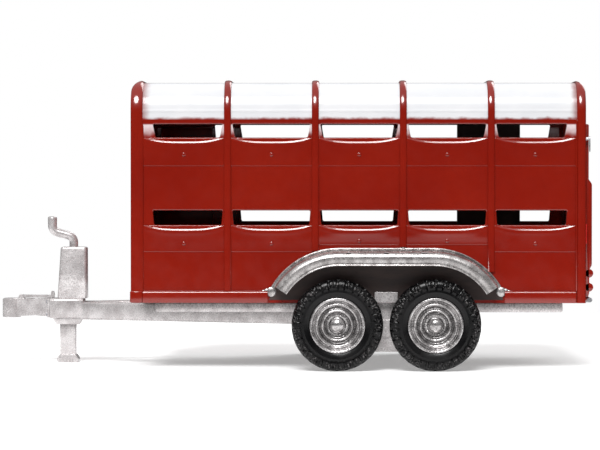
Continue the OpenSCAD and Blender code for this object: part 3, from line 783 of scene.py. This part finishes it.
PLATE_BACK, PLATE_RECESS, PLATE_FACE, PLATE_CREST = 0.0006, 0.003, 0.0078, 0.010
CREST_R, SCOOP_R = 0.030, 0.010
PLATE_EDGE, PLATE_ROUND = 0.003, 0.014  # how far in its lower edge and its ends are rounded
KNOB_R, KNOB_HEIGHT = 0.016, 0.0095


def scoop(d):
    """A plate's height at d below its crest line: a scoop, a round crest, then the flat face."""
    if d >= 0:
        return PLATE_FACE + (PLATE_CREST - PLATE_FACE) * math.exp(-((d / 0.030) ** 2))
    crest_end = -0.017
    if d >= crest_end:
        return PLATE_CREST - (CREST_R - math.sqrt(CREST_R ** 2 - d ** 2))
    foot = crest_end - 0.0057
    if d >= foot:
        return PLATE_RECESS + SCOOP_R - math.sqrt(SCOOP_R ** 2 - (d - foot) ** 2)
    return PLATE_RECESS


def rows_down(height):
    """Distances down a plate, close together at the scoop and at the lower edge."""
    scoop_end, taper = 0.074, 0.044
    out = [0.0, 0.0012, 0.0026, 0.0045]
    while out[-1] < scoop_end:
        out.append(out[-1] + 0.0021)
    gap = (height - taper - out[-1]) / 4
    out += [out[-1] + gap * (k + 1) for k in range(4)]
    out += [height - taper + (taper - PLATE_EDGE) * k / 8 for k in range(1, 9)]
    return out + [height - PLATE_EDGE + PLATE_EDGE * math.sin(math.pi / 2 * k / 4) for k in range(1, 5)]


def shutter(name, side):
    """A bay's two plates. Each is scooped out under the slot above it, most of all in the middle."""
    low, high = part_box(name)
    x0, x1 = low.x, high.x
    over_guard = low.z > 0.97
    plates = [  # (lower edge, upper edge, middle of the knob)
        (1.000 if over_guard else 0.944, LOW_SLOT[0] - 0.004, 1.034 if over_guard else 1.012),
        (HIGH_SLOT[0] - 0.228, HIGH_SLOT[0] - 0.004, HIGH_SLOT[0] - 0.136),
    ]
    back = SIDE + PLATE_BACK
    build = Build()
    columns = 60
    half, mid = (x1 - x0) / 2, (x0 + x1) / 2
    for z0, z1, knob_z in plates:
        sections = []
        for s in rows_down(z1 - z0):
            row = []
            for i in range(columns + 1):
                u = -math.cos(math.pi * i / columns)
                x = mid + half * u
                crest = 0.005 + 0.044 * (1 - abs(u) ** 3.2)
                h = scoop(s - crest)
                h *= 1 - 0.68 * smooth(s, 0.062, z1 - z0 + 0.010)
                edge = min((x - x0) / PLATE_ROUND, (x1 - x) / PLATE_ROUND, (z1 - z0 - s) / PLATE_EDGE)
                h *= math.sqrt(1 - (1 - min(1.0, max(0.0, edge))) ** 2) if edge < 1 else 1.0
                h *= min(1.0, 0.4 + s / 0.004)
                row.append(Vector((x, side * (back + max(h, 0.0005)), z1 - s)))
            z = z1 - s
            sections.append(row + [Vector((x1, side * back, z)), Vector((x0, side * back, z))])
        build.add(sections)
        build.dome((mid, side * (back + 0.004), knob_z), (0, side, 0), KNOB_R, KNOB_HEIGHT)
    build.place(name + "_pressed", RED, name, "red_aluminium", name)


for k in range(1, 6):
    shutter(f"shutter_left_{k}", -1)
for k in range(2, 6):
    shutter(f"shutter_right_{k}", 1)

# ---- Mudguards: one rolled section carried over both wheels ----

def flange_profile():
    """Distance out from the body's face and radius, round the flange with its rolled edge."""
    r = GUARD_R
    return [(0.0, r - 0.004), (0.0, r + 0.0248)] + arc(0.006, r + 0.0188, 0.006, 115, -65, 8) + [
        (0.0025, r + 0.011), (0.0025, r - 0.004)]


def guard_profile():
    """The same, round the guard: a wide round shoulder, a slightly hollow face and a rolled lip."""
    w, r, t, shoulder = GUARD_Y - SIDE, GUARD_R, 0.004, 0.052
    low = r - 0.112
    outer = [(0.003, r)] + arc(w - 0.003 - shoulder, r - shoulder, shoulder, 90, 4, 12)
    outer += [(w - 0.0052, low + 0.040), (w - 0.0068, low + 0.026)]
    outer += [(w - 0.0074, low + 0.016), (w - 0.0064, low + 0.0115)]
    outer += arc(w - 0.0056, low + 0.0056, 0.0056, 65, -160, 12)
    inner = [(w - 0.0074 - t, low + 0.018)]
    inner += arc(w - 0.003 - shoulder, r - shoulder, shoulder - t, 0, 90, 10)
    return outer + inner + [(0.003, r - t)]


def guard_stations(cut):
    """(origin in X and Z, outward direction in X and Z) along the arch, up to cut from upright."""
    steps, flats = 22, 8
    out = []
    for k in range(steps + 1):
        a = cut * (1 - k / steps)
        out.append(((BOGIE_X - GUARD_FLAT, GUARD_Z), (-math.sin(a), math.cos(a))))
    for k in range(1, flats):
        out.append(((BOGIE_X - GUARD_FLAT + 2 * GUARD_FLAT * k / flats, GUARD_Z), (0.0, 1.0)))
    for k in range(steps + 1):
        a = cut * k / steps
        out.append(((BOGIE_X + GUARD_FLAT, GUARD_Z), (math.sin(a), math.cos(a))))
    return out


def mudguard(name, side, node):
    build = Build()
    for profile, cut in ((flange_profile(), FLANGE_CUT), (guard_profile(), GUARD_CUT)):
        sections = []
        for (ox, oz), (dx, dz) in guard_stations(cut):
            sections.append([Vector((ox + dx * r, side * (SIDE + w), oz + dz * r)) for w, r in profile])
        build.add(sections)
    for end in (-1, 1):  # the lug that fixes each end to the body
        lug_x = BOGIE_X + end * (GUARD_FLAT + GUARD_R * math.sin(FLANGE_CUT))
        for dx, size, height in ((0.0, 0.040, 0.018), (0.034, 0.028, 0.014), (0.062, 0.016, 0.008)):
            build.dome((lug_x + end * dx, side * (SIDE + 0.0005), 0.624), (0, side, 0), size, height, 8)
    flange_z = GUARD_Z + GUARD_R + 0.018
    for x in HOOP_X[1:3]:  # the hoops that come down on the flange
        build.dome((x, side * (SIDE + 0.002), flange_z), (0, side, 0), 0.014, 0.016, 8)
    build.place(name, SILVER_GUARD, "trailer", "silver_steel", node)


mudguard("mudguard_left_rolled", -1, "mudguard_left")
mudguard("mudguard_right_rolled", 1, "mudguard_right")

# ---- Wheels ----

def tyre_profile():
    """(radius, outboard) round the outside of the tyre's section."""
    half = [
        (0.2041, 0.077), (0.212, 0.0772), (0.220, 0.0776), (0.226, 0.080), (0.230, 0.0835),
        (0.2335, 0.0838), (0.237, 0.085), (0.245, 0.0872), (0.255, 0.089), (0.262, 0.0905),
        (0.266, 0.0914), (0.270, 0.0908), (0.278, 0.0912), (0.288, 0.0922), (0.296, 0.0925),
        (0.304, 0.0924), (0.312, 0.0916), (0.319, 0.0906), (0.324, 0.090), (0.329, 0.0888),
        (0.334, 0.0872), (0.339, 0.0852), (0.344, 0.0828), (0.349, 0.0796), (0.353, 0.0758),
        (0.3565, 0.0708), (0.359, 0.065), (0.361, 0.058), (0.3622, 0.050), (0.3632, 0.042),
        (0.364, 0.034), (0.3646, 0.026), (0.3649, 0.017), (0.365, 0.0085), (0.365, 0.0),
    ]
    return half + [(r, -h) for r, h in reversed(half[:-1])]


TYRE_BACK = [(0.2041, -0.056), (0.236, -0.066), (0.300, -0.080), (0.334, -0.074), (0.350, -0.054)]
INNER_TYRE = TYRE_BACK + [(0.352, 0.0)] + [(r, -h) for r, h in reversed(TYRE_BACK)]
TYRE_CORE = 0.285  # radius of the line that the tread is cut towards


def tread_cut(r, h, phase, odd):
    """How deep the tread is cut at a point, phase being how far round its block it is."""
    reach = 0.290 + 0.014 * odd
    band = smooth(r, reach, reach + 0.006) * smooth(abs(h), 0.030, 0.036)
    groove = 1 - smooth(abs(((phase + 0.5) % 1) - 0.5), 0.12, 0.21)
    # a short slanted notch in the middle of every second block
    slant = 0.5 + 4.0 * (r - 0.335)
    notch = 1 - smooth(abs(phase - slant), 0.05, 0.11)
    notch *= smooth(r, 0.312, 0.318) * smooth(abs(h), 0.046, 0.052)
    notch *= odd * (1 - smooth(r, 0.346, 0.352))
    cut = 0.013 * band * max(groove, 0.75 * notch)
    cut += 0.0022 * smooth(r, 0.286, 0.2885) * (1 - smooth(r, 0.2905, 0.293))
    crown = smooth(r, 0.360, 0.362)
    wave = 0.004 * math.sin(2 * math.pi * phase)
    for centre in (-0.030, 0.0, 0.030):
        cut += 0.007 * crown * (1 - smooth(abs(h - centre - wave), 0.003, 0.0048))
    return cut


def tyre(name, x, side, body):
    """A cross-ply agricultural tyre: ribs round the crown, and notched blocks down the shoulder."""
    pitches, per = 30, 14  # tread blocks, and sections to a block
    profile = tyre_profile()
    sections = []
    for k, t in enumerate(turns(pitches * per)):
        phase, odd = (k % per) / per, (k // per) % 2
        section = []
        for r, h in profile:
            core = math.hypot(r - TYRE_CORE, h)
            left = (core - tread_cut(r, h, phase, odd)) / core
            section.append(wheel_point(x, side, t, TYRE_CORE + (r - TYRE_CORE) * left, h * left))
        sections.append(section + [wheel_point(x, side, t, r, h) for r, h in INNER_TYRE])
    build = Build().add(sections, closed_path=True)
    build.place(f"tyre_{name}_treaded", RUBBER, body, "tyre", f"tyre_{name}", 38.0)


RIM_PROFILE = [
    (0.196, -0.080), (0.198, -0.0862), (0.203, -0.0885), (0.215, -0.0885), (0.219, -0.0868),
    (0.2196, -0.0835),
    (0.218, -0.080), (0.204, -0.0785), (0.2038, 0.0785), (0.218, 0.080),
    # the outer lip, then the steep wall down to the disc
    (0.2196, 0.0822), (0.220, 0.085), (0.2186, 0.0876), (0.215, 0.0892), (0.2095, 0.0894),
    (0.2045, 0.0878),
    (0.2005, 0.0845), (0.198, 0.079), (0.1962, 0.070), (0.1945, 0.061), (0.191, 0.0552),
    (0.186, 0.0535),
    # the outer ring
    (0.181, 0.055), (0.1765, 0.0592), (0.1715, 0.0628), (0.166, 0.064), (0.1605, 0.0622),
    (0.156, 0.0575),
    (0.152, 0.0508), (0.148, 0.0445), (0.1435, 0.0402), (0.1385, 0.0385), (0.134, 0.0396),
    # the inner ring and the flat round the hub
    (0.130, 0.0436), (0.1255, 0.0492), (0.120, 0.0524), (0.1145, 0.052), (0.1095, 0.0482),
    (0.1055, 0.0424),
    (0.1015, 0.0362), (0.097, 0.0328), (0.090, 0.032), (0.070, 0.032), (0.060, 0.031),
    # the back of the disc
    (0.060, 0.018), (0.096, 0.018), (0.104, 0.024), (0.111, 0.037), (0.119, 0.040),
    (0.127, 0.033),
    (0.136, 0.0265), (0.145, 0.029), (0.153, 0.038), (0.162, 0.050), (0.172, 0.048),
    (0.182, 0.040),
    (0.189, 0.040), (0.193, 0.030), (0.1955, 0.010),
]
HUB_PROFILE = [
    (0.0201, -0.096), (0.056, -0.096), (0.058, -0.094), (0.058, 0.006), (0.060, 0.008),
    (0.0925, 0.008), (0.094, 0.0095), (0.094, 0.017), (0.093, 0.018), (0.059, 0.018),
    (0.059, 0.033), (0.0605, 0.035), (0.0645, 0.0362), (0.066, 0.0385), (0.0652, 0.0412),
    (0.0625, 0.0425), (0.059, 0.0428), (0.0565, 0.0445), (0.053, 0.0505), (0.047, 0.0575),
    (0.038, 0.0638), (0.027, 0.0684), (0.013, 0.0711), (0.0004, 0.0718), (0.0004, 0.040),
    (0.0201, 0.037),
]


def rim(name, x, side, body):
    build = Build().add(lathe(RIM_PROFILE, x, side, 128), closed_path=True)
    valve = (x + 0.172, side * (WHEEL_Y + 0.046), AXLE_Z + 0.03)
    build.dome(valve, (0, side, 0), 0.006, 0.016, 4, 12)
    build.place(f"rim_{name}_pressed", SILVER_WHEEL, body, "silver_steel", f"rim_{name}")


NUT_CIRCLE_R = 0.078


def hub(name, x, side, body):
    build = Build().add(lathe(HUB_PROFILE, x, side, 96), closed_path=True)
    for a in turns(5):  # the nuts
        cx, cz = x - side * NUT_CIRCLE_R * math.cos(a), AXLE_Z + NUT_CIRCLE_R * math.sin(a)
        ring = []
        for r, h in ((0.0125, 0.0305), (0.0125, 0.0385), (0.0108, 0.0415), (0.007, 0.042)):
            ring.append([
                Vector((cx + r * math.cos(t), side * (WHEEL_Y + h), cz + r * math.sin(t))) for t in turns(6)
            ])
        build.add(ring)
        build.dome((cx, side * (WHEEL_Y + 0.0415), cz), (0, side, 0), 0.006, 0.005, 4, 12)
    build.place(f"hub_{name}_domed", SILVER_WHEEL, body, "silver_steel", f"hub_{name}")


for wheel_name, wheel_x, wheel_side in WHEELS:
    for make in (tyre, rim, hub):
        make(wheel_name, wheel_x, wheel_side, "wheel_" + wheel_name)

# ---- Chassis, drawbar, prop stand and ramp: rounded bars and castings ----

def chassis():
    low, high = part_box("chassis_frame")
    build = Build()
    rail_w, rail_h, member_w = 0.060, 0.076, 0.060
    members = [(x, 0.028) for x in (-1.058, -0.430, 0.200)] + [(x, 0.060) for x in (BOGIE_X, 1.400, 2.146)]
    for side in (-1, 1):
        y, z = side * (high.y - rail_w / 2), FLOOR_Z - rail_h / 2
        build.bar((low.x, y, z), (high.x, y, z), rail_w, rail_h, 0.014, 0.012)
    for x, depth in members:
        z, end = FLOOR_Z - depth / 2, high.y - rail_w
        build.bar((x, -end, z), (x, end, z), member_w, depth, 0.007)
    build.place("chassis_rounded", SILVER, "trailer", "silver_steel", "chassis_frame")


def drawbar():
    low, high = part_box("drawbar")
    z, tall = (low.z + high.z) / 2, high.z - low.z
    tip_x, tip_y, root_x, root_y = -1.760, 0.0574, 0.040, 0.735
    cross_x, cross_y, cross_z = -0.010, 0.684, 0.428
    build = Build()
    for side in (-1, 1):
        build.bar((tip_x, side * tip_y, z), (root_x, side * root_y, z), 0.070, tall, 0.026, 0.010)
    build.bar((cross_x, -cross_y, cross_z), (cross_x, cross_y, cross_z), 0.060, 0.060, 0.008)
    build.place("drawbar_rounded", SILVER, "trailer", "silver_steel", "drawbar")


def lofted(build, stations, r):
    """A closed casting through level rectangles: (z, x0, x1, half width in Y, inset)."""
    sections = []
    for z, x0, x1, y, less in stations:
        loop = rounded_rect(x0 + less, x1 - less, -y + less, y - less, max(r - less, 0.001))
        sections.append([Vector((a, b, z)) for a, b in loop])
    return build.add(sections)


def nose():
    low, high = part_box("nose_block")
    under, half_y = 0.368, 0.080
    z = (under + high.z) / 2
    build = Build().bar((low.x, 0, z), (high.x, 0, z), high.y - low.y, high.z - under, 0.024, 0.010)
    lofted(build, [
        (0.372, -1.996, -1.748, half_y, 0.0), (0.360, -1.994, -1.750, half_y, 0.0),
        (0.330, -1.974, -1.766, half_y, 0.0), (0.321, -1.970, -1.770, half_y, 0.001),
        (low.z, -1.970, -1.770, half_y, 0.005),
    ], 0.016)
    build.place("nose_block_rounded", SILVER, "trailer", "silver_steel", "nose_block")


CRANK_X = -1.8275


def jack_housing():
    """The prop stand's tapered casing, open below for the leg, with a boss for the crank."""
    low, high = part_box("jack_housing")
    z0, z1 = low.z, high.z - 0.006

    def edges(z):
        t = (z - z0) / (z1 - z0)
        return -1.958 + 0.028 * t, -1.714 - 0.002 * t

    wall = 0.005
    inside = [(z1 - wall, wall + 0.010), (z1 - 0.016, wall), (z0, wall)]
    outside = [(z0, 0.003), (z0 + 0.004, 0.0), (z0 + 0.2, 0.0), (z1 - 0.014, 0.0)]
    outside += [(z1 - 0.007, 0.002), (z1 - 0.002, 0.007), (z1, 0.014)]
    build = lofted(Build(), [(z, *edges(z), high.y, less) for z, less in inside + outside], 0.022)
    build.dome((CRANK_X, 0, z1 - 0.001), (0, 0, 1), 0.042, 0.007)
    build.place("jack_housing_cast", SILVER_CAST, "trailer", "silver_steel", "jack_housing")


def jack_leg():
    low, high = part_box("jack_leg")
    x = (low.x + high.x) / 2
    build = Build().bar((x, 0, low.z), (x, 0, high.z), high.y - low.y, high.x - low.x, 0.016, 0.003)
    build.place("jack_leg_rounded", SILVER, "jack_leg", "silver_steel", "jack_leg")


def jack_crank():
    """A bent bar: up out of the housing, out to the wrist, and up as the grip."""
    low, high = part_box("jack_crank")
    root_z, grip_x = 0.962, low.x + 0.040
    corners = [Vector(c) for c in ((CRANK_X, root_z), (CRANK_X, 1.044), (grip_x, 1.092), (grip_x, high.z))]
    bar_r, pin_r = 0.036, 0.015
    path = [(CRANK_X, root_z - 0.052, pin_r), (CRANK_X, root_z - 0.001, pin_r), (CRANK_X, root_z, bar_r)]
    for i, swell in ((1, 0.0), (2, 0.0015)):
        for k, p in enumerate(bend(*corners[i - 1:i + 2], 0.050, 10)):
            path.append((p.x, p.y, bar_r + swell * k / 10))
    for below, r in ((0.030, 0.0385), (0.012, 0.038), (0.004, 0.033), (0.0, 0.024)):
        path.append((grip_x, high.z - below, r))
    build = Build().tube(path, 28)
    build.place("jack_crank_bent", SILVER, "jack_crank", "silver_steel", "jack_crank", 45.0)


def ramp():
    """The tail ramp, a closed rounded panel with two round ribs and four hinge knuckles."""
    low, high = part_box("ramp_panel")
    x, z0, z1, y = low.x, 0.584, high.z, high.y
    corners = [
        (x, z0, 0.004), (x + 0.020, z0, 0.006), (x + 0.032, z0 + 0.024, 0.010), (x + 0.032, 0.800, 0.014),
        (x + 0.052, 0.836, 0.014), (x + 0.052, 1.490, 0.014), (x + 0.022, 1.530, 0.014),
        (x + 0.022, z1, 0.009), (x, z1, 0.004),
    ]
    points = [Vector(corner[:2]) for corner in corners]
    outline = []
    for i, corner in enumerate(corners):
        outline += bend(points[i - 1], points[i], points[(i + 1) % len(points)], corner[2], 5)
    middle = sum(outline, Vector((0, 0))) / len(outline)
    ends = [(0.0, 0.004), (0.0015, 0.0015), (0.005, 0.0)]  # (distance in from an end, how much smaller)
    build = Build()
    sections = []
    for py, less in [(d - y, less) for d, less in ends] + [(y - d, less) for d, less in reversed(ends)]:
        section = []
        for p in outline:
            pull = middle - p
            dx, dz = math.copysign(min(less, abs(pull.x)), pull.x), math.copysign(less, pull.y)
            section.append(Vector((p.x + dx, py, p.y + dz)))
        sections.append(section)
    build.add(sections)
    for rib_z in (0.660, 0.772):
        rib_x = high.x - 0.036
        build.bar((rib_x, -y, rib_z), (rib_x, y, rib_z), 0.072, 0.072, 0.0355, 0.006)
    pin_x, pin_z = 2.392, 0.560
    for py in (-0.650, -0.215, 0.215, 0.650):
        build.bar((pin_x, py - 0.030, pin_z), (pin_x, py + 0.030, pin_z), 0.038, 0.038, 0.0188, 0.002)
        build.block((pin_x - 0.026, py - 0.030, pin_z), (pin_x, py + 0.030, z0 + 0.003), 0.003)
    build.place("ramp_rounded", RED, "ramp", "red_aluminium", "ramp_panel")


for make in (chassis, drawbar, nose, jack_housing, jack_leg, jack_crank, ramp):
    make()

# ---- CAD nodes that keep their shape ----

CARRIED = (  # (material, segments of its bevels, bevel width of each node)
    (RED, 4, {"front_wall": 0.001, "inspection_door": 0.003}),
    (SILVER, 4, {"coupling_head": 0.008, "coupling_lever": 0.005, "jack_foot": 0.008}),
    (SILVER, 3, {"mudguard_stays": 0.004, "bogie_hangers": 0.003, "rocker_beams": 0.004, "axles": 0.004,
                 "ramp_cleats": 0.003}),
    (ZINC, 3, {"coupling_bolts": 0.0015, "jack_screw": 0.001, "ramp_hinge": 0.0015, "ramp_latch_left": 0.002,
               "ramp_latch_right": 0.002, "door_handle": 0.002, "gate_bracket": 0.0008}),
    (BOARD, 2, {"gate_leaf_1": 0.0015, "gate_leaf_2": 0.0015, "gate_leaf_3": 0.0015}),
    (FLOOR, 2, {"floor_deck": 0.002}),
    # the splash panels are dark as painted shade behind the wheels
    (DARK, 2, {"splash_panels": 0.001}),
    (LAMP, 3, {"rear_lamps": 0.003}),
)
for material, segments, widths in CARRIED:
    for node, width in widths.items():
        carry(node, material, width, segments)

# ---- Stage, light and camera ----

def stage_floor():
    """A pale round floor that thins out to nothing with distance, so that it shows no horizon."""
    s = Shader("studio_floor", Roughness=0.95, Specular_IOR_Level=0.0, Emission_Strength=0.30)
    s.colour(s.mix(s.noise(0.6, 2.0), srgb(232, 232, 232), srgb(236, 236, 236)))
    far = s.node("ShaderNodeVectorMath", Vector=s.coord)
    far.operation = "LENGTH"
    s.feed(s.bsdf.inputs["Alpha"], s.ramp(far.outputs["Value"], 3.5, 9.0, 1.0, 0.0))
    bm = bmesh.new()
    bmesh.ops.create_circle(bm, cap_ends=True, radius=9.0, segments=96)
    mesh = bpy.data.meshes.new("studio_floor")
    bm.to_mesh(mesh)
    bm.free()
    mesh.materials.append(s.mat)
    add_object("studio_floor", mesh)


def soft_sun(name, direction, strength, angle):
    """A wide even light that shines from direction."""
    data = bpy.data.lights.new(name, "SUN")
    data.energy = strength
    data.angle = math.radians(angle)
    obj = add_object(name, data)
    obj.location = Vector(direction) * 6
    obj.rotation_euler = Vector(direction).to_track_quat("Z", "Y").to_euler()


def studio_world():
    """White behind the object. What lights it is dim at the horizon and bright overhead."""
    world = bpy.data.worlds.new("studio")
    world.use_nodes = True
    tree = world.node_tree
    tree.nodes.clear()
    coord = tree.nodes.new("ShaderNodeTexCoord")
    split = tree.nodes.new("ShaderNodeSeparateXYZ")
    height = tree.nodes.new("ShaderNodeMapRange")
    height.interpolation_type = "SMOOTHSTEP"
    for key, value in (("From Min", 0.05), ("From Max", 0.9), ("To Min", 0.06), ("To Max", 0.75)):
        height.inputs[key].default_value = value
    room = tree.nodes.new("ShaderNodeBackground")
    plain = tree.nodes.new("ShaderNodeBackground")
    plain.inputs["Color"].default_value = (1.0, 1.0, 1.0, 1.0)
    path = tree.nodes.new("ShaderNodeLightPath")
    mix = tree.nodes.new("ShaderNodeMixShader")
    out = tree.nodes.new("ShaderNodeOutputWorld")
    for a, b in (
        (coord.outputs["Generated"], split.inputs[0]),
        (split.outputs["Z"], height.inputs["Value"]),
        (height.outputs["Result"], room.inputs["Strength"]),
        (path.outputs["Is Camera Ray"], mix.inputs["Fac"]),
        (room.outputs[0], mix.inputs[1]),
        (plain.outputs[0], mix.inputs[2]),
        (mix.outputs[0], out.inputs["Surface"]),
    ):
        tree.links.new(a, b)
    bpy.context.scene.world = world


stage_floor()
studio_world()
soft_sun("key", (-0.14, -0.85, 0.90), 3.05, 26)
soft_sun("back", (0.55, 0.75, 0.80), 1.3, 40)

camera = bpy.data.cameras.new("camera")
camera.lens = 165.0
camera.sensor_width = 36.0
camera.clip_end = 1000.0
camera_object = add_object("camera", camera)
camera_object.location = (0.392, -22.9, 1.584)
aim = Vector((0.072, -0.9, 1.16)) - camera_object.location
camera_object.rotation_euler = aim.to_track_quat("-Z", "Y").to_euler()
bpy.context.scene.camera = camera_object
bpy.context.scene.view_settings.view_transform = "Standard"
